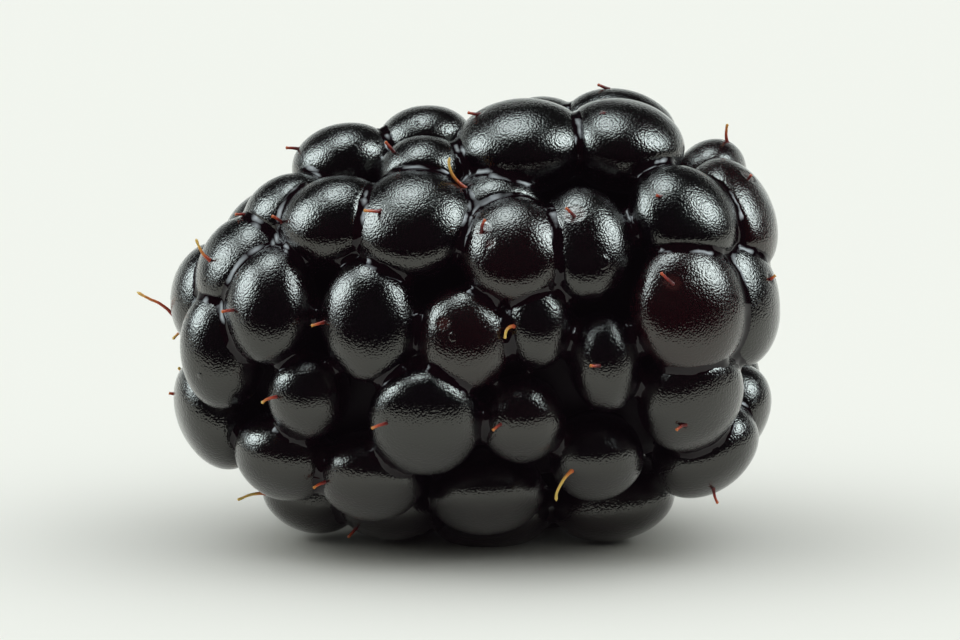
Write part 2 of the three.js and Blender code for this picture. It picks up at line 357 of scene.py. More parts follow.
def calcVector(tree, operation, *terms):
    sockets = (0, 3) if operation == "SCALE" else (0, 1)
    made = addNode(tree, "ShaderNodeVectorMath", dict(zip(sockets, terms)), operation=operation)
    scalar = operation in ("DOT_PRODUCT", "LENGTH", "DISTANCE")
    return made.outputs["Value" if scalar else "Vector"]


def shifted(tree, vector, *moves):
    for move in moves:
        vector = calcVector(tree, "ADD", vector, move)
    return vector


def scaled(tree, vector, amount):
    return calcVector(tree, "SCALE", vector, amount)


def dot(tree, first, second):
    return calcVector(tree, "DOT_PRODUCT", first, second)


def split(tree, vector):
    return addNode(tree, "ShaderNodeSeparateXYZ", {"Vector": vector}).outputs


def combine(tree, x, y, z):
    return addNode(tree, "ShaderNodeCombineXYZ", {"X": x, "Y": y, "Z": z}).outputs[0]


def mapRange(tree, value, low, high, toLow, toHigh, interpolation="LINEAR"):
    inputs = {"Value": value, "From Min": low, "From Max": high, "To Min": toLow, "To Max": toHigh}
    made = addNode(tree, "ShaderNodeMapRange", inputs, clamp=True, interpolation_type=interpolation)
    return made.outputs[0]


def noise(tree, vector, scale, detail=2.0, roughness=0.5):
    inputs = {"Vector": vector, "Scale": scale, "Detail": detail, "Roughness": roughness}
    return addNode(tree, "ShaderNodeTexNoise", inputs).outputs[0]


def compare(tree, operation, first, second):  # whole numbers
    inputs = {2: first, 3: second}
    return addNode(tree, "FunctionNodeCompare", inputs, data_type="INT", operation=operation).outputs[0]


def namedField(tree, name, kind="FLOAT_VECTOR"):
    return addNode(tree, "GeometryNodeInputNamedAttribute", {"Name": name}, data_type=kind).outputs[0]


def numberField(tree, name):
    return namedField(tree, name, "FLOAT")


def store(tree, geometry, name, value, kind="FLOAT"):
    inputs = {"Geometry": geometry, "Name": name, "Value": value}
    made = addNode(tree, "GeometryNodeStoreNamedAttribute", inputs, data_type=kind, domain="POINT")
    return made.outputs[0]


def sample(tree, geometry, field, index, kind="FLOAT_VECTOR"):
    inputs = {"Geometry": geometry, "Value": field, "Index": index}
    return addNode(tree, "GeometryNodeSampleIndex", inputs, data_type=kind, domain="POINT").outputs[0]


# Trees, and the plain meshes they make

socketKinds = {int: "Int", float: "Float", bpy.types.Material: "Material", bpy.types.Object: "Object"}


def newGeometryTree(name, values):  # with one input named for each of the values
    tree = bpy.data.node_groups.new(name, "GeometryNodeTree")
    tree.is_modifier = True
    tree.interface.new_socket("Geometry", in_out="INPUT", socket_type="NodeSocketGeometry")
    for label, value in values.items():
        kind = "NodeSocket" + socketKinds[type(value)]
        made = tree.interface.new_socket(label, in_out="INPUT", socket_type=kind)
        if isinstance(value, (int, float)):
            made.default_value = value
    tree.interface.new_socket("Geometry", in_out="OUTPUT", socket_type="NodeSocketGeometry")
    return tree, addNode(tree, "NodeGroupInput").outputs, addNode(tree, "NodeGroupOutput")


def endTree(tree, result, geometry, material):
    smooth = addNode(tree, "GeometryNodeSetShadeSmooth", {"Geometry": geometry}).outputs[0]
    painted = addNode(tree, "GeometryNodeSetMaterial", {"Geometry": smooth, "Material": material})
    plug(tree, result.inputs["Geometry"], painted.outputs[0])


def copiesAt(tree, points, instance):
    copies = addNode(tree, "GeometryNodeInstanceOnPoints", {"Points": points, "Instance": instance})
    return addNode(tree, "GeometryNodeRealizeInstances", {"Geometry": copies.outputs[0]}).outputs[0]


def addObject(name, mesh):
    made = bpy.data.objects.new(name, mesh)
    scene.collection.objects.link(made)
    return made


def pointsObject(name, positions, fields):
    mesh = bpy.data.meshes.new(name)
    mesh.from_pydata([tuple(position) for position in positions], [], [])
    for label, values in fields.items():
        values = np.asarray(values)
        whole = values.dtype.kind == "i"
        kind = "FLOAT_VECTOR" if values.ndim == 2 else "INT" if whole else "FLOAT"
        layer = mesh.attributes.new(label, kind, "POINT").data
        layer.foreach_set("vector" if values.ndim == 2 else "value",
                          values.astype(np.int32 if whole else np.float32).ravel())
    return addObject(name, mesh)


def plainMesh(source, name):  # what the object's modifiers make of it
    bpy.context.view_layer.update()
    evaluated = source.evaluated_get(bpy.context.evaluated_depsgraph_get())
    mesh = bpy.data.meshes.new_from_object(evaluated)
    source.modifiers.clear()
    mesh.name = name
    return mesh


def grow(source, tree, name, values):
    modifier = source.modifiers.new(tree.name, "NODES")
    modifier.node_group = tree
    for item in tree.interface.items_tree:
        if item.in_out == "INPUT" and item.name in values:
            modifier[item.identifier] = values[item.name]
    return addObject(name, plainMesh(source, name))


def finishPiece(piece):
    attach(piece, "root")
    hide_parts("bramble_berry")


# Finishes. Each noise is given as its scale (per metre), its detail and its roughness.

def newMaterial(name, inputs):
    material = bpy.data.materials.new(name)
    material.use_nodes = True
    tree = material.node_tree
    shader = tree.nodes["Principled BSDF"]
    for label, value in inputs.items():
        shader.inputs[label].default_value = (*value, 1) if "Color" in label or "Tint" in label else value
    return material, tree, shader.inputs


def objectPlace(tree):
    return addNode(tree, "ShaderNodeTexCoord").outputs["Object"]


def ramp(tree, factor, stops):
    node = addNode(tree, "ShaderNodeValToRGB", {"Fac": factor})
    elements = node.color_ramp.elements
    while len(elements) < len(stops):
        elements.new(0.5)
    for element, (position, colour) in zip(elements, stops):
        element.position = position
        element.color = (*colour, 1)
    return node.outputs["Color"]


def mixColour(tree, factor, first, second, blend="MIX"):
    first, second = [(*colour, 1) if isinstance(colour, tuple) else colour for colour in (first, second)]
    inputs = {"Factor": factor, 6: first, 7: second}
    return addNode(tree, "ShaderNodeMix", inputs, data_type="RGBA", blend_type=blend).outputs[2]


def mottle(tree, place, settings, share):  # noise about 0
    return times(tree, subtract(tree, noise(tree, place, *settings), 0.5), share)


def fieldOf(tree, name):
    made = addNode(tree, "ShaderNodeAttribute", attribute_name=name, attribute_type="GEOMETRY")
    return made.outputs["Fac"]


def bump(tree, height, distance, under=None, invert=False):
    inputs = {"Strength": 1.0, "Distance": distance * mm, "Height": height}
    if under is not None:
        inputs["Normal"] = under
    return addNode(tree, "ShaderNodeBump", inputs, invert=invert).outputs[0]


# painted glow: a faint emission that lifts the blacks of the skin, the juice and the crease floor everywhere,
# standing in for light that comes back out of the flesh
paintedGlow = {"Emission Color": (0.0018, 0.0012, 0.0017), "Emission Strength": 1.0}

skin = {
    "ripe": (0.0016, 0.0008, 0.0018),
    "wine": (0.017, 0.0008, 0.0018),
    "patches": (260, 3, 0.55),  # uneven ripeness
    "patchShare": 0.5,
    "pitStain": (0.030, 0.006, 0.006),
    "inputs": {"IOR": 1.5, "Specular Tint": (1.0, 1.0, 0.88), "Coat Weight": 0.7, "Coat Roughness": 0.08,
               "Coat IOR": 1.5, "Coat Tint": (1.0, 1.0, 1.0)},
    "roughness": (0.12, 0.2),
    "roughPatches": (900, 4, 0.6),
    "roughRange": (0.35, 0.7),
    "pebble": 0.09,  # millimetres from one pebble to the next
    "pebbleHeight": 0.0145,
    "pebbleSoftness": 0.6,
    "grain": 1.4,  # finer than the pebbles by this factor
    "grainShare": 0.5,
    "ripple": 0.3,
    "rippleHeight": 0.001,
    # small marks: drupelet, place towards the apex, place round (both fractions of the half sizes),
    # radius, depth (millimetres) and stain
    "marks": [
        (19, -0.52, -0.82, 0.22, 0.07, (0.17, 0.065, 0.035)),
        (28, 0.44, -0.26, 0.28, 0.02, (0.12, 0.013, 0.014)),
        (22, 0.42, -0.15, 0.34, 0.03, (0.045, 0.010, 0.010)),
        (34, 0.1, -0.3, 0.16, 0.02, (0.10, 0.008, 0.008)),
        (14, 0.1, -0.75, 0.22, 0.04, (0.006, 0.004, 0.005)),
        (25, 0.35, 0.1, 0.10, 0.01, (0.16, 0.012, 0.012)),
        (13, 0.2, -0.45, 0.14, 0.03, (0.02, 0.006, 0.006)),
    ],
    "ragged": (4000, 3, 0.6),  # a mark's outline
    "raggedShare": 0.9,
    "markEdge": (0.7, 1.4),  # it fades from here to here, as shares of its radius
    # rings left by dried drops: drupelet, place towards the apex, place round, radius, height
    "rings": [
        (29, -0.25, -0.6, 0.36, 0.022),
        (24, 0.05, -0.48, 0.26, 0.018),
        (24, -0.1, -0.2, 0.14, 0.012),
        (1, -0.3, -0.41, 0.12, 0.03),
        (18, 0.2, 0.1, 0.16, 0.02),
    ],
    "ringWidth": 0.045,
}


def spotOn(i, apexward, sideways):  # a place on a drupelet's outer side
    length, width, dome = berry["half"][i]
    up = math.sqrt(max(0.02, 1 - apexward**2 - sideways**2))
    place = berry["centre"][i] - apexward * length * berry["stemward"][i]
    place = place + sideways * width * berry["roundward"][i] + up * dome * berry["outward"][i]
    return tuple(place * mm)


def addMarks(tree, place, colour):  # gives the colour with the marks on it, and the height of marks and rings
    height = 0.0
    for i, apexward, sideways, radius, depth, stain in skin["marks"]:
        ragged = times(tree, noise(tree, place, *skin["ragged"]), radius * skin["raggedShare"] * mm)
        away = add(tree, calcVector(tree, "DISTANCE", place, spotOn(i, apexward, sideways)), ragged)
        start, end = [radius * share * mm for share in skin["markEdge"]]
        near = mapRange(tree, away, start, end, 1.0, 0.0, "SMOOTHSTEP")
        colour = mixColour(tree, near, colour, stain)
        height = subtract(tree, height, times(tree, near, depth))
    for i, apexward, sideways, radius, rise in skin["rings"]:
        away = calcVector(tree, "DISTANCE", place, spotOn(i, apexward, sideways))
        ring = bell(tree, over(tree, subtract(tree, away, radius * mm), skin["ringWidth"] * mm))
        height = add(tree, height, times(tree, ring, rise))
    return colour, height


def skinMaterial():
    # the skin carries the painted glow
    material, tree, inputs = newMaterial("drupeletSkin", {**skin["inputs"], **paintedGlow})
    place = objectPlace(tree)
    tint = add(tree, fieldOf(tree, "tint"), mottle(tree, place, skin["patches"], skin["patchShare"]))
    body = mixColour(tree, calc(tree, "MAXIMUM", tint, 0.0), skin["ripe"], skin["wine"])
    stained = mixColour(tree, fieldOf(tree, "pitNear"), body, skin["pitStain"])
    stained, markHeight = addMarks(tree, place, stained)
    plug(tree, inputs["Base Color"], stained)
    rough = noise(tree, place, *skin["roughPatches"])
    plug(tree, inputs["Roughness"], mapRange(tree, rough, *skin["roughRange"], *skin["roughness"]))
    perMetre = 1000 / skin["pebble"]
    cells = {"Vector": place, "Scale": perMetre, "Smoothness": skin["pebbleSoftness"]}
    cells = addNode(tree, "ShaderNodeTexVoronoi", cells, feature="SMOOTH_F1")
    grain = times(tree, noise(tree, place, perMetre * skin["grain"], 2, 0.6), skin["grainShare"])
    pebbles = add(tree, cells.outputs["Distance"], grain)
    surface = bump(tree, pebbles, skin["pebbleHeight"], invert=True)
    surface = bump(tree, noise(tree, place, 1000 / skin["ripple"]), skin["rippleHeight"], surface)
    surface = bump(tree, markHeight, 1, surface)
    plug(tree, inputs["Normal"], surface)
    plug(tree, inputs["Coat Normal"], surface)
    return material


wet = {
    "colours": ((0.002, 0.001, 0.002), (0.006, 0.001, 0.002)),
    "patches": (500, 2, 0.5),
    "inputs": {"Roughness": 0.05, "IOR": 1.38},
    "waves": (700, 1, 0.5),
    "waveHeight": 0.2,
}


def juiceMaterial():
    # the juice carries the painted glow
    material, tree, inputs = newMaterial("juice", {**wet["inputs"], **paintedGlow})
    place = objectPlace(tree)
    plug(tree, inputs["Base Color"], mixColour(tree, noise(tree, place, *wet["patches"]), *wet["colours"]))
    plug(tree, inputs["Normal"], bump(tree, noise(tree, place, *wet["waves"]), wet["waveHeight"]))
    return material


# painted shade: a dull near-black finish for the sheet that darkens the deepest creases
def paintedShadeMaterial():
    inputs = {"Base Color": (0.003, 0.0012, 0.002), "Roughness": 0.6, "Specular IOR Level": 0.15}
    return newMaterial("crease", {**inputs, **paintedGlow})[0]


thread = {
    # from a young root to an old tip
    "colours": [(0.0, (0.12, 0.006, 0.006)), (0.25, (0.30, 0.022, 0.010)), (0.55, (0.52, 0.085, 0.022)),
                (0.8, (0.68, 0.27, 0.05)), (1.0, (0.78, 0.52, 0.13))],
    "mottle": (3000, 3, 0.6),
    "mottleShare": 0.25,
    "inputs": {"Roughness": 0.42, "Subsurface Weight": 0.2, "Subsurface Radius": (1.0, 0.4, 0.2),
               "Subsurface Scale": 0.0002},
    "ridges": (9000, 2, 0.5),
    "ridgeHeight": 0.008,
}


def styleMaterial():
    material, tree, inputs = newMaterial("style", thread["inputs"])
    place = objectPlace(tree)
    age = add(tree, fieldOf(tree, "along"), fieldOf(tree, "age"))
    age = add(tree, age, mottle(tree, place, thread["mottle"], thread["mottleShare"]))
    plug(tree, inputs["Base Color"], ramp(tree, age, thread["colours"]))
    plug(tree, inputs["Normal"], bump(tree, noise(tree, place, *thread["ridges"]), thread["ridgeHeight"]))
    return material


flesh = {
    "pale": ((0.36, 0.30, 0.13), (0.62, 0.56, 0.34)),  # between its fibres and on them
    "fibres": (2600, 4, 0.6),
    "fibreHeight": 0.03,
    # from the clean scar through the juice stain round it, to near-black painted shade on the core's barrel
    # and the plug's foot under the drupelets
    "stainsAndShade": [(0.0, (1, 1, 1)), (0.45, (0.75, 0.42, 0.25)), (0.75, (0.30, 0.025, 0.03)),
               (1.0, (0.03, 0.003, 0.006))],
    "stainPatches": (700, 3, 0.6),
    "stainShare": 0.7,
    "inputs": {"Roughness": 0.5, "Subsurface Weight": 0.15, "Subsurface Scale": 0.0006},
}


def receptacleMaterial():
    material, tree, inputs = newMaterial("receptacle", flesh["inputs"])
    place = objectPlace(tree)
    fibres = noise(tree, place, *flesh["fibres"])
    pale = mixColour(tree, fibres, *flesh["pale"])
    # the stain runs from the clean scar through juice stain to near-black painted shade on the barrel and the
    # plug's foot
    stain = add(tree, fieldOf(tree, "rim"), mottle(tree, place, flesh["stainPatches"], flesh["stainShare"]))
    colour = mixColour(tree, 1.0, pale, ramp(tree, stain, flesh["stainsAndShade"]), "MULTIPLY")
    plug(tree, inputs["Base Color"], colour)
    plug(tree, inputs["Normal"], bump(tree, fibres, flesh["fibreHeight"]))
    return material


skinFinish = skinMaterial()
juiceFinish = juiceMaterial()
paintedShadeFinish = paintedShadeMaterial()
styleFinish = styleMaterial()
receptacleFinish = receptacleMaterial()
print("finishes made")


# Drupelets: balls grown out from their centres until they press on each other

growthSizes = {
    "Detail": drupelet["detail"],
    "Outer Share": drupelet["outerShare"],
    "Root Reach": drupelet["root"],
    "Flare": drupelet["flare"],
    "Growth": drupelet["growth"],
    "Gap": drupelet["gap"],
    "Yield": drupelet["yield"],
    "Crease Sharpness": drupelet["creaseSharpness"],
    "Lump": drupelet["lump"],
    "Lump Scale": drupelet["lumpScale"],
    "Pit Depth": drupelet["pitDepth"],
    "Pit Width": drupelet["pitWidth"],
    "Material": skinFinish,
}
sections = ("drupelets_tip", "drupelets_middle", "drupelets_base")


def reachIn(tree, direction, axes, half, given):
    # how far an egg-shaped drupelet reaches in a direction, which is in the berry's frame
    parts = [dot(tree, direction, axis) for axis in axes]
    flared = add(tree, given["Flare"], 1.0)
    wider = mapRange(tree, parts[2], 0.0, -drupelet["flareDepth"], 1.0, flared, "SMOOTHSTEP")
    sizes = split(tree, half)
    across = [over(tree, over(tree, parts[i], wider), sizes[i]) for i in range(2)]
    across = calcVector(tree, "LENGTH", combine(tree, *across, 0.0))
    inward = calc(tree, "LESS_THAN", parts[2], 0.0)
    heights = {0: inward, 2: sizes[2], 3: given["Root Reach"]}
    height = addNode(tree, "ShaderNodeMix", heights, data_type="FLOAT").outputs[0]
    upright = over(tree, calc(tree, "ABSOLUTE", parts[2]), height)
    fullness = drupelet["fullness"]
    filled = add(tree, calc(tree, "POWER", across, fullness), calc(tree, "POWER", upright, fullness))
    reach = calc(tree, "POWER", calc(tree, "MAXIMUM", filled, 1e-4), -1 / fullness)
    return times(tree, reach, given["Growth"])


def pressBack(tree, given, ownCentre, ownAxes, ownHalf, away, turn):
    # how hard the drupelet whose turn it is presses on a vertex: it gives way at the middle plane
    everyPoint = given["Geometry"]
    otherAxes = [sample(tree, everyPoint, axis, turn) for axis in ownAxes]
    otherHalf = sample(tree, everyPoint, ownHalf, turn)
    link = calcVector(tree, "SUBTRACT", sample(tree, everyPoint, ownCentre, turn), ownCentre)
    distance = calc(tree, "MAXIMUM", calcVector(tree, "LENGTH", link), 0.01)
    linkWay = calcVector(tree, "NORMALIZE", link)
    mine = reachIn(tree, linkWay, ownAxes, ownHalf, given)
    theirs = reachIn(tree, scaled(tree, linkWay, -1.0), otherAxes, otherHalf, given)
    lens = subtract(tree, times(tree, mine, mine), times(tree, theirs, theirs))
    plane = over(tree, add(tree, times(tree, distance, distance), lens), times(tree, distance, 2.0))
    lift = numberField(tree, "lift")
    higher = subtract(tree, lift, sample(tree, everyPoint, lift, turn, "FLOAT"))
    plane = add(tree, plane, times(tree, calc(tree, "MAXIMUM", higher, 0.0), given["Yield"]))
    plane = calc(tree, "MAXIMUM", subtract(tree, plane, given["Gap"]), drupelet["leastReach"])
    facing = calc(tree, "MAXIMUM", dot(tree, away, linkWay), 0.0)
    press = calc(tree, "POWER", over(tree, facing, plane), given["Crease Sharpness"])
    return times(tree, press, compare(tree, "NOT_EQUAL", namedField(tree, "own", "INT"), turn))


def drupeletTree():
    tree, given, result = newGeometryTree("drupeletGrowth", {"Section": 0, **growthSizes})
    everyPoint = given["Geometry"]
    ownAxes = [namedField(tree, name) for name in ("stemward", "roundward", "outward")]
    ownHalf = namedField(tree, "half")
    ownCentre = namedField(tree, "centre")
    wanted = compare(tree, "EQUAL", namedField(tree, "section", "INT"), given["Section"])
    everything = compare(tree, "LESS_THAN", given["Section"], 0)
    shown = addNode(tree, "FunctionNodeBooleanMath", {0: wanted, 1: everything}, operation="OR").outputs[0]
    kept = {"Geometry": everyPoint, "Selection": shown}
    kept = addNode(tree, "GeometryNodeSeparateGeometry", kept, domain="POINT").outputs[0]
    ball = {"Radius": 1.0, "Subdivisions": given["Detail"]}
    ball = addNode(tree, "GeometryNodeMeshIcoSphere", ball).outputs["Mesh"]
    position = addNode(tree, "GeometryNodeInputPosition").outputs[0]
    grown = copiesAt(tree, kept, store(tree, ball, "ball", position, "FLOAT_VECTOR"))

    # each vertex leaves its centre in one direction; more of them go outwards
    outer = combine(tree, 0.0, 0.0, given["Outer Share"])
    parts = split(tree, calcVector(tree, "NORMALIZE", shifted(tree, namedField(tree, "ball"), outer)))
    direction = shifted(tree, *[scaled(tree, axis, part) for axis, part in zip(ownAxes, parts)])
    grown = store(tree, grown, "away", direction, "FLOAT_VECTOR")
    away = namedField(tree, "away")
    grown = store(tree, grown, "free", reachIn(tree, away, ownAxes, ownHalf, given))
    free = numberField(tree, "free")
    sharpness = given["Crease Sharpness"]
    grown = store(tree, grown, "press", calc(tree, "POWER", free, times(tree, sharpness, -1.0)))

    # one round for each drupelet: whatever lies past the middle plane between the two is pressed back
    rounds = addNode(tree, "GeometryNodeAttributeDomainSize", {0: everyPoint}, component="MESH")
    zoneIn = addNode(tree, "GeometryNodeRepeatInput")
    zoneOut = addNode(tree, "GeometryNodeRepeatOutput")
    zoneIn.pair_with_output(zoneOut)
    plug(tree, zoneIn.inputs["Iterations"], rounds.outputs["Point Count"])
    plug(tree, zoneIn.inputs["Geometry"], grown)
    press = pressBack(tree, given, ownCentre, ownAxes, ownHalf, away, zoneIn.outputs["Iteration"])
    pressed = add(tree, numberField(tree, "press"), press)
    plug(tree, zoneOut.inputs["Geometry"], store(tree, zoneIn.outputs["Geometry"], "press", pressed))
    grown = zoneOut.outputs["Geometry"]
    radius = calc(tree, "POWER", numberField(tree, "press"), over(tree, -1.0, sharpness))

    # slow unevenness, and the pit with its low rim that the style stands in
    spot = shifted(tree, ownCentre, scaled(tree, away, free))
    slow = subtract(tree, noise(tree, spot, given["Lump Scale"], 1.0), 0.5)
    radius = add(tree, radius, times(tree, slow, times(tree, given["Lump"], 2.0)))
    nearness = calc(tree, "MINIMUM", dot(tree, away, namedField(tree, "pit")), 1.0)
    pitShare = over(tree, times(tree, calc(tree, "ARCCOSINE", nearness), radius), given["Pit Width"])
    hollow = bell(tree, pitShare)
    rim = bell(tree, subtract(tree, pitShare, 2.0))
    pitted = subtract(tree, hollow, times(tree, rim, drupelet["pitRim"]))
    radius = subtract(tree, radius, times(tree, pitted, given["Pit Depth"]))
    grown = store(tree, grown, "pitNear", hollow)

    place = split(tree, scaled(tree, shifted(tree, ownCentre, scaled(tree, away, radius)), mm))
    resting = combine(tree, place[0], place[1], calc(tree, "MAXIMUM", place[2], 0.0))
    moved = addNode(tree, "GeometryNodeSetPosition", {"Geometry": grown, "Position": resting}).outputs[0]
    endTree(tree, result, moved, given["Material"])
    return tree


def drupeletPoints():
    draw = drawer(drupelet["tintSeed"])
    tints = [draw(*drupelet["tints"]) for _ in range(count)]
    for i, amount in drupelet["wine"].items():
        tints[i] = amount
    section = np.zeros(count, int)
    byStation = np.argsort(berry["centre"][:, 0])
    for number, group in enumerate(np.array_split(byStation, len(sections))):
        section[group] = number
    fields = {name: values for name, values in berry.items() if name != "style"}
    fields.update({"tint": tints, "own": np.arange(count), "section": section})
    return pointsObject("drupeletCentres", berry["centre"] * mm, fields)


centres = drupeletPoints()
growth = drupeletTree()
drupeletPieces = []
for number, name in enumerate(sections):
    piece = grow(centres, growth, name, {**growthSizes, "Section": number})
    drupeletPieces.append(piece)
    print(name, len(piece.data.polygons), "faces")


# Receptacle: the core, ending in the dished scar where the stalk came away; its barrel under the drupelets is
# painted near black as shade

core = {
    "barrel": {"apexReach": 10.4, "stemReach": 9.9, "radius": 6.3},
    "barrelEnd": 0.8,  # the plug takes over this far round the barrel's profile
    "plugRadius": 2.5,
    "plugFoot": 0.5,  # its foot is this much wider
    "plugReach": 11.6,  # station of its rim
    "plugLength": 2.2,  # from its foot to there
    "rimDepth": 0.3,  # over which the rim is rounded
    "dish": 0.5,  # depth of the scar
    "ridges": 13,  # round the plug
    "ridgeHeight": 0.03,  # as a share of its radius
    "around": 120,
}


def turned(radius, station, around, ridge=0.0):  # one ring of points round the berry's axis
    angles = np.arange(around) / around * 2 * math.pi
    reach = radius * (1 + ridge * np.sin(angles * core["ridges"]))
    ring = np.stack([np.full(around, station), reach * np.cos(angles), reach * np.sin(angles)], axis=1)
    return lieDown(ring) * mm


def ringMesh(name, rings, ends=None):  # closed by a fan to each of its two ends, or else by flat faces
    made = bmesh.new()
    rings = [[made.verts.new(point) for point in ring] for ring in rings]
    ends = [made.verts.new(point) for point in ends or []]
    around = len(rings[0])
    for i in range(around):
        following = (i + 1) % around
        for first, second in zip(rings, rings[1:]):
            made.faces.new((first[i], second[i], second[following], first[following]))
        if ends:
            made.faces.new((ends[0], rings[0][i], rings[0][following]))
            made.faces.new((ends[1], rings[-1][following], rings[-1][i]))
    if not ends:
        made.faces.new(rings[0])
        made.faces.new(rings[-1])
    bmesh.ops.recalc_face_normals(made, faces=made.faces)
    for face in made.faces:
        face.smooth = True
    mesh = bpy.data.meshes.new(name)
    made.to_mesh(mesh)
    made.free()
    return mesh


def stationsOf(shape, steps, end):  # along a barrel's profile, closer together at its ends
    stations = []
    for i in range(steps + 1):
        way = math.cos(i / steps * end * math.pi)
        stations.append(seat["fattest"] - halfOf(shape, seat["fattest"] - way)[0] * way)
    return stations


def coreOutline():  # (radius, station, stain) of each ring, from the apex to the middle of the scar; a stain of 1 is near-black painted shade on the barrel, less is juice stain and then the clean scar
    stations = stationsOf(core["barrel"], 16, core["barrelEnd"])
    outline = [(barrelRadius(core["barrel"], station), station, 1.0) for station in stations]
    radius, reach, foot = core["plugRadius"], core["plugReach"], core["plugFoot"]
    side = core["plugLength"] - core["rimDepth"]
    for share in np.linspace(0, 1, 10):  # the plug's side, up to its rim
        station = reach - core["plugLength"] + side * share
        outline.append((radius + foot - foot * share, station, 1.0 - 0.45 * share))
    for share in np.linspace(0.1, 1, 18):  # over the rim and down into the dish
        dish = core["dish"] * (0.5 - 0.5 * math.cos(min(1, share * 1.4) * math.pi))
        station = reach - core["rimDepth"] + core["rimDepth"] * min(1, share * 5) - dish
        outline.append((radius * (1 - math.sin(share * math.pi / 2) * 0.99), station, 0.5 * (1 - share)))
    return outline


def receptaclePiece():
    outline = coreOutline()
    rings = []
    stainsAndShade = []
    for step, (radius, station, stain) in enumerate(outline[1:]):
        ridge = core["ridgeHeight"] * math.sin(step) if stain < 0.95 else 0
        rings.append(turned(radius, station, core["around"], ridge))
        stainsAndShade += [stain] * core["around"]
    ends = [lieDown([outline[i][1], 0, 0]) * mm for i in (0, -1)]
    mesh = ringMesh("receptacle", rings, ends)
    # the rim field carries both the juice stain and the painted shade
    mesh.attributes.new("rim", "FLOAT", "POINT").data.foreach_set("value", stainsAndShade + [1.0, 0.0])
    mesh.materials.append(receptacleFinish)
    return addObject("receptacle", mesh)


receptacle = receptaclePiece()
print("receptacle", len(receptacle.data.polygons), "faces")


# Styles: the dried thread on each drupelet

styles = {
    "rings": 18,
    "sides": 8,
    "radius": 0.075,
    "sink": 0.08,  # it starts this far under the skin
    "tipFloor": 0.35,  # a thread whose tip would be lower than this is left out
    "taper": 0.3,  # lost towards the tip, as a share of the radius
    "footWidth": 0.55,  # how much wider the foot is
    "footFalloff": -9.0,
    "knobWidth": 0.35,  # the stigma at the tip
    "knob": (0.95, 0.07),  # where it is along the thread, and its length
    "wander": 0.22,  # a tip strays by up to about this share of the length
    "wanderScale": 1.3,  # per millimetre
    "castFrom": 3.0,  # a ray towards the skin starts this far from the drupelet's centre
    "castLength": 4.0,
    "steer": 12,  # how far the given directions below outweigh the skin's own
    # the other threads: their lean towards the apex, and how far random curls and ages go
    "lean": 0.5,
    "curl": 2,
    "outcurl": 0.2,
    "aging": 0.5,
    "spread": (-0.3, 0.6),  # the smallest of the random numbers, and how much more at most
    "seed": 19,
    # by drupelet: how far the thread goes across, up and forwards (millimetres), its curl across and up
    # (radians) and its age, from -0.5 (red) to 0.5 (yellow)
    "shapes": {
        0: (-1.4, 1.6, 0.2, 0.0, -0.3, 0.05), 2: (-0.3, 0.0, 0.1, 0.0, 0.2, -0.2),
        3: (-0.85, 0.75, 0.5, 0.25, 0.6, 0.22), 4: (-0.58, 0.02, 0.25, 0.0, -0.2, -0.25),
        5: (-0.62, 0.1, 0.1, 0.0, -0.15, -0.35), 7: (-0.7, -0.05, 0.4, 0.0, -0.3, 0.0),
        8: (-1.35, 0.12, 0.2, 0.0, -0.5, 0.5), 9: (-0.62, 0.12, 0.1, 0.0, -0.2, -0.35),
        10: (-0.4, 0.45, 0.3, 0.0, -0.2, -0.35), 11: (-0.62, -0.05, 0.35, 0.0, -0.2, -0.1),
        12: (-0.6, -0.1, 0.3, 0.0, -0.4, -0.15), 13: (-0.35, -0.45, 0.3, -0.2, 0.0, -0.3),
        15: (-0.35, 0.6, 0.2, -0.2, 0.0, -0.35), 16: (-0.72, 0.0, 0.5, 0.0, 0.15, -0.1),
        17: (-0.7, -0.05, 0.4, 0.0, -0.3, -0.15), 19: (-0.52, 0.02, 0.2, 0.0, 0.2, -0.35),
        21: (-1.45, 0.85, 0.4, 0.3, 0.9, 0.3), 22: (0.05, 0.7, 0.4, 0.3, 0.0, -0.35),
        23: (-0.7, 0.35, 0.35, 0.0, -2.3, 0.4), 24: (-0.42, -0.15, 0.3, 0.0, -0.4, -0.2),
        27: (-0.5, 0.25, 0.1, 0.0, -0.2, -0.4), 29: (-0.35, 0.5, 0.3, -0.2, 0.0, -0.35),
        30: (-0.42, -0.02, 0.3, 0.0, 0.2, -0.25), 31: (-1.25, -0.75, 0.5, 0.4, -0.9, 0.55),
        33: (-0.2, 0.85, 0.1, 0.35, 0.1, 0.0), 34: (0.12, 0.2, 0.1, 0.0, 0.0, -0.45),
        35: (-0.2, 0.08, 0.15, 0.0, 0.0, -0.45), 36: (-0.48, 0.6, 0.5, -0.2, 0.0, -0.4),
        38: (-0.45, -0.05, 0.3, 0.0, -0.5, -0.3), 39: (0.05, -0.72, 0.2, 0.3, 0.0, -0.3),
        40: (-0.1, -0.75, 0.1, -0.3, 0.0, -0.35),
    },
}
threadSizes = {
    "Rings": styles["rings"],
    "Sides": styles["sides"],
    "Radius": styles["radius"],
    "Sink": styles["sink"],
    "Material": styleFinish,
}


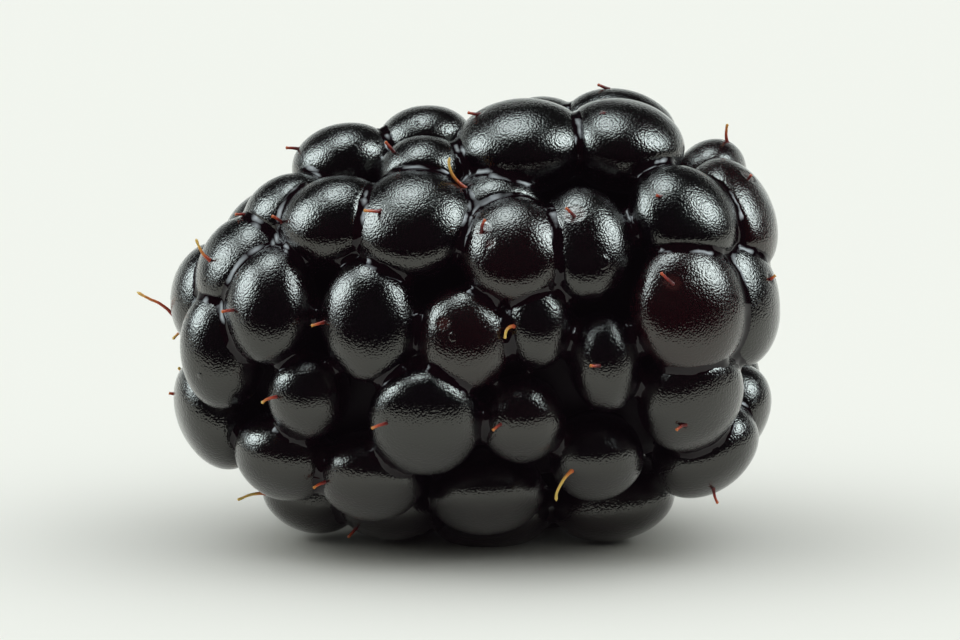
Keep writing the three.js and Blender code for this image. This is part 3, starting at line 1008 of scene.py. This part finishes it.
def threadPath(tree, given, share):  # an arc from the skin, wandering a little; share runs from root to tip
    lean = shifted(tree, namedField(tree, "skinNormal"), namedField(tree, "lean"))
    lean = calcVector(tree, "NORMALIZE", lean)
    curl = namedField(tree, "curl")
    amount = calc(tree, "MAXIMUM", calcVector(tree, "LENGTH", curl), 0.02)
    across = calcVector(tree, "SUBTRACT", curl, scaled(tree, lean, dot(tree, curl, lean)))
    bend = calcVector(tree, "NORMALIZE", across)
    angle = times(tree, amount, share)
    length = numberField(tree, "length")
    reach = times(tree, over(tree, calc(tree, "SINE", angle), amount), length)
    aside = times(tree, over(tree, subtract(tree, 1.0, calc(tree, "COSINE", angle)), amount), length)
    start = calcVector(tree, "SUBTRACT", namedField(tree, "root"), scaled(tree, lean, given["Sink"]))
    path = shifted(tree, start, shifted(tree, scaled(tree, lean, reach), scaled(tree, bend, aside)))
    wobble = {"Vector": path, "Scale": styles["wanderScale"], "Detail": 1.0}
    wobble = addNode(tree, "ShaderNodeTexNoise", wobble).outputs[1]
    wander = calcVector(tree, "SUBTRACT", wobble, (0.5, 0.5, 0.5))
    wander = scaled(tree, wander, times(tree, times(tree, share, length), styles["wander"]))
    return scaled(tree, shifted(tree, path, wander), mm)


def threadRadius(tree, given, share):  # a wide foot, a slow taper and a knob that closes at the tip
    foot = calc(tree, "EXPONENT", times(tree, share, styles["footFalloff"]))
    foot = times(tree, foot, styles["footWidth"])
    knobAt, knobLength = styles["knob"]
    knob = bell(tree, over(tree, subtract(tree, share, knobAt), knobLength))
    knob = times(tree, knob, styles["knobWidth"])
    width = add(tree, subtract(tree, 1.0, times(tree, share, styles["taper"])), add(tree, foot, knob))
    closing = subtract(tree, 1.0, calc(tree, "POWER", share, 30.0))
    closing = calc(tree, "SQRT", calc(tree, "MAXIMUM", closing, 0.02))
    return times(tree, times(tree, width, closing), times(tree, given["Radius"], mm))


def styleTree(values):
    tree, given, result = newGeometryTree("styleThreads", values)
    # each thread's root is where a ray from over the pit meets the skin
    whole = addNode(tree, "GeometryNodeObjectInfo", {"Object": given["Skin"]}, transform_space="RELATIVE")
    pit = namedField(tree, "pit")
    above = shifted(tree, namedField(tree, "centre"), scaled(tree, pit, styles["castFrom"]))
    cast = addNode(tree, "GeometryNodeRaycast", {
        "Target Geometry": whole.outputs["Geometry"],
        "Source Position": scaled(tree, above, mm),
        "Ray Direction": scaled(tree, pit, -1.0),
        "Ray Length": styles["castLength"] * mm,
    }, data_type="FLOAT")
    root = scaled(tree, cast.outputs["Hit Position"], 1 / mm)
    points = store(tree, given["Geometry"], "root", root, "FLOAT_VECTOR")
    points = store(tree, points, "skinNormal", cast.outputs["Hit Normal"], "FLOAT_VECTOR")

    line = addNode(tree, "GeometryNodeCurvePrimitiveLine").outputs[0]
    line = addNode(tree, "GeometryNodeResampleCurve", {"Curve": line, "Count": given["Rings"]}).outputs[0]
    along = addNode(tree, "GeometryNodeSplineParameter").outputs["Factor"]
    threads = copiesAt(tree, points, store(tree, line, "along", along))
    share = numberField(tree, "along")
    place = {"Geometry": threads, "Position": threadPath(tree, given, share)}
    moved = addNode(tree, "GeometryNodeSetPosition", place).outputs[0]
    radius = {"Curve": moved, "Radius": threadRadius(tree, given, share)}
    sized = addNode(tree, "GeometryNodeSetCurveRadius", radius).outputs[0]
    ring = {"Resolution": given["Sides"], "Radius": 1.0}
    ring = addNode(tree, "GeometryNodeCurvePrimitiveCircle", ring, mode="RADIUS").outputs[0]
    tube = {"Curve": sized, "Profile Curve": ring, "Fill Caps": True}
    tube = addNode(tree, "GeometryNodeCurveToMesh", tube)
    if "Scale" in tube.inputs:
        plug(tree, tube.inputs["Scale"], addNode(tree, "GeometryNodeInputRadius").outputs[0])
    endTree(tree, result, tube.outputs[0], given["Material"])
    return tree


def stylePoints():
    draw = drawer(styles["seed"])
    rows = []
    for i in range(count):
        apexward, roundward = -berry["stemward"][i], berry["roundward"][i]
        length = berry["style"][i]
        leanApex, leanRound, curlApex, curlRound, age = [draw(*styles["spread"]) for _ in range(5)]
        if length == 0:
            continue
        if i in styles["shapes"]:
            across, rise, forwards, curlAcross, curlRise, age = styles["shapes"][i]
            way = np.array([across, -forwards, rise])
            length = np.linalg.norm(way)
            lean = styles["steer"] * way / length
            curl = np.array([curlAcross, 0, curlRise])
        else:
            lean = styles["lean"] * apexward + leanApex * apexward + leanRound * roundward
            curl = curlApex * styles["curl"] * apexward + curlRound * styles["curl"] * roundward
            curl = curl + styles["outcurl"] * berry["outward"][i]
            age = age * styles["aging"]
        tip = berry["centre"][i] + berry["pit"][i] * (2 + length)
        if tip[2] >= styles["tipFloor"]:
            rows.append({"centre": berry["centre"][i], "pit": berry["pit"][i], "lean": lean, "curl": curl,
                         "length": length, "age": age})
    fields = gather(rows)
    return pointsObject("styleRoots", fields["centre"] * mm, fields)


wholeSkin = grow(centres, growth, "wholeSkin", {**growthSizes, "Section": -1, "Detail": 4})
styleRoots = stylePoints()
threadSizes["Skin"] = wholeSkin
threads = grow(styleRoots, styleTree(threadSizes), "styles", threadSizes)
print("styles", len(threads.data.polygons), "faces")


# Juice: the wet film that rounds out the creases, and a dull near-black sheet of painted shade in the deepest
# ones

juice = {
    "voxel": 0.215,  # millimetres
    "smoothing": 6,
    "bed": -1.15,  # the film lies this far over the seat where no drupelet covers it
    "floor": -0.95,  # the near-black sheet of painted shade in the deepest creases, over the seat
    "apexInset": 0.8,  # both start this much further in at the apex
    "end": 8.2,  # station where both stop, before the stem end
    "around": 60,
}


def bedRings(depth):
    shape = {name: value + depth for name, value in seat["near"].items()}
    shape["apexReach"] -= juice["apexInset"]
    stations = [station for station in stationsOf(shape, 32, 0.95) if station < juice["end"]]
    stations.append(juice["end"])
    radii = [max(barrelRadius(shape, station), 0.05) for station in stations]
    return [turned(radius, station, juice["around"]) for radius, station in zip(radii, stations)]


def juicePiece():
    both = bmesh.new()
    both.from_mesh(wholeSkin.data)
    both.from_mesh(ringMesh("bed", bedRings(juice["bed"])))
    source = bpy.data.meshes.new("juiceSource")
    both.to_mesh(source)
    both.free()
    film = addObject("juice", source)
    remesh = film.modifiers.new("closed", "REMESH")
    remesh.mode = "VOXEL"
    remesh.voxel_size = juice["voxel"] * mm
    remesh.use_smooth_shade = True
    smooth = film.modifiers.new("settled", "SMOOTH")
    smooth.factor = 0.5
    smooth.iterations = juice["smoothing"]
    film.data = plainMesh(film, "juice")
    film.data.materials.clear()
    film.data.materials.append(juiceFinish)
    return film


# painted shade: a near-black sheet under the deepest creases, so that they read as shadowed
def makePaintedShadeSheet():
    mesh = ringMesh("crease_floor", bedRings(juice["floor"]))
    mesh.materials.append(paintedShadeFinish)
    return addObject("crease_floor", mesh)


film = juicePiece()
paintedShadeSheet = makePaintedShadeSheet()
print("juice", len(film.data.polygons), "faces")

for spare in (wholeSkin, centres, styleRoots):
    bpy.data.objects.remove(spare)

for piece in drupeletPieces:
    finishPiece(piece)
finishPiece(threads)
finishPiece(receptacle)
finishPiece(film)
finishPiece(paintedShadeSheet)


# The setting: pale floor, studio lights and camera

view = {
    "aim": (0.73, -0.085, 9.55),  # millimetres
    "elevation": 10,  # degrees over the floor
    "distance": 230,
    "lens": 199.5,
    "sensor": 36,
    "clip": (0.01, 10),  # metres
}

softbox = {
    "distance": 900,  # millimetres from the berry
    "middle": 9.5,  # height over the floor that they face
    "colour": (0.88, 1.0, 1.04),
    "hotspot": 0.1,  # full strength to here, as a share of the half size, and none at the edge
    "falloff": 1.1,
    # each one: direction it stands in, half width and half height in degrees seen from the berry, strength
    "boxes": {
        "right": ((0.74, -0.04, 0.64), 20, 27, 15),
        "left": ((-0.82, 0.04, 0.54), 24, 30, 12),
        "overhead": ((-0.18, 0.16, 0.96), 26, 22, 9),
    },
}


def softboxMaterial(name, strength):
    material = bpy.data.materials.new(name)
    material.use_nodes = True
    tree = material.node_tree
    tree.nodes.clear()
    fromMiddle = times(tree, calcVector(tree, "LENGTH", objectPlace(tree)), 2.0)
    glow = mapRange(tree, fromMiddle, softbox["hotspot"], 1.0, 1.0, 0.0)
    glow = times(tree, calc(tree, "POWER", glow, softbox["falloff"]), strength)
    facing = addNode(tree, "ShaderNodeNewGeometry").outputs["Backfacing"]
    inputs = {"Color": (*softbox["colour"], 1), "Strength": times(tree, glow, facing)}
    light = addNode(tree, "ShaderNodeEmission", inputs).outputs[0]
    addNode(tree, "ShaderNodeOutputMaterial", {"Surface": light})
    return material


def addSoftbox(name, direction, halfWidth, halfHeight, strength):
    distance = softbox["distance"] * mm
    way = Vector(direction).normalized()
    bpy.ops.mesh.primitive_plane_add(size=1)
    box = bpy.context.object
    box.name = "softbox_" + name
    box.scale = (*[2 * distance * math.tan(math.radians(half)) for half in (halfWidth, halfHeight)], 1)
    box.rotation_euler = way.to_track_quat("Z", "Y").to_euler()
    box.location = way * distance + Vector((0, 0, softbox["middle"] * mm))
    box.visible_camera = False
    box.visible_diffuse = False
    box.data.materials.append(softboxMaterial(box.name, strength))


for name, settings in softbox["boxes"].items():
    addSoftbox(name, *settings)


def stagePlane(name, low, high, height, colour, roughness):
    mesh = bpy.data.meshes.new(name)
    corners = [(low[0], low[1]), (high[0], low[1]), (high[0], high[1]), (low[0], high[1])]
    mesh.from_pydata([(x * mm, y * mm, height * mm) for x, y in corners], [], [(0, 1, 2, 3)])
    inputs = {"Base Color": colour, "Roughness": roughness, "Specular IOR Level": 0.0}
    mesh.materials.append(newMaterial(name, inputs)[0])
    made = addObject(name, mesh)
    return made


floor = stagePlane("floor", (-1500, -1500), (1500, 1500), 0.0, (0.84, 0.853, 0.825), 0.5)
darkCard = stagePlane("dark_card", (-1500, -1500), (1500, -35), 0.3, (0.0, 0.0, 0.0), 1.0)
for ray in ("camera", "diffuse", "transmission", "volume_scatter", "shadow"):  # only reflections show it
    setattr(darkCard, "visible_" + ray, False)

room = {
    "backdrop": (0.86, 0.90, 0.85),  # what the camera sees
    # what reflections see: a sweep behind the berry, and next to nothing elsewhere
    "sweepColour": (0.93, 1.0, 0.96),
    "sweep": 0.75,
    "sweepBehind": (0.3, 0.8),
    "sweepHeight": (0.12, 0.5),
    "least": 0.015,
    # what lights the floor: a tent overhead, stronger towards both sides
    "tent": 1.6,
    "tentRise": (0.22, 0.88),
    "tentMiddle": 0.55,
    "tentSides": 2.4,
    "tentColours": ((1.0, 1.0, 0.88), (0.98, 1.0, 0.99)),  # low and high
    "tentColourRise": (0.3, 0.8),
}


def background(tree, colour, strength):
    colour = (*colour, 1) if isinstance(colour, tuple) else colour
    return addNode(tree, "ShaderNodeBackground", {"Color": colour, "Strength": strength}).outputs[0]


def mixShader(tree, factor, first, second):
    return addNode(tree, "ShaderNodeMixShader", {0: factor, 1: first, 2: second}).outputs[0]


def makeWorld():
    world = bpy.data.worlds.new("room")
    world.use_nodes = True
    tree = world.node_tree
    tree.nodes.clear()
    path = addNode(tree, "ShaderNodeLightPath").outputs
    way = split(tree, addNode(tree, "ShaderNodeTexCoord").outputs["Generated"])
    behind = mapRange(tree, way[1], *room["sweepBehind"], 0.0, room["sweep"], "SMOOTHSTEP")
    low = mapRange(tree, way[2], *room["sweepHeight"], 1.0, 0.0, "SMOOTHSTEP")
    dark = background(tree, room["sweepColour"], add(tree, times(tree, behind, low), room["least"]))
    overhead = mapRange(tree, way[2], *room["tentRise"], 0.0, room["tent"], "SMOOTHSTEP")
    aside = times(tree, times(tree, way[0], way[0]), room["tentSides"])
    rise = mapRange(tree, way[2], *room["tentColourRise"], 0.0, 1.0)
    strength = times(tree, overhead, add(tree, room["tentMiddle"], aside))
    tent = background(tree, mixColour(tree, rise, *room["tentColours"]), strength)
    lit = mixShader(tree, path["Is Diffuse Ray"], dark, tent)
    seen = mixShader(tree, path["Is Camera Ray"], lit, background(tree, room["backdrop"], 1.0))
    addNode(tree, "ShaderNodeOutputWorld", {"Surface": seen})
    scene.world = world


def makeCamera():
    rise = math.radians(view["elevation"])
    back = Vector((0, -math.cos(rise), math.sin(rise)))
    camera = addObject("camera", bpy.data.cameras.new("camera"))
    camera.location = Vector(view["aim"]) * mm + back * view["distance"] * mm
    camera.rotation_euler = (-back).to_track_quat("-Z", "Y").to_euler()
    camera.data.lens = view["lens"]
    camera.data.sensor_width = view["sensor"]
    camera.data.clip_start, camera.data.clip_end = view["clip"]
    scene.camera = camera


makeWorld()
makeCamera()
scene.view_settings.view_transform = "Standard"
print("setting made")
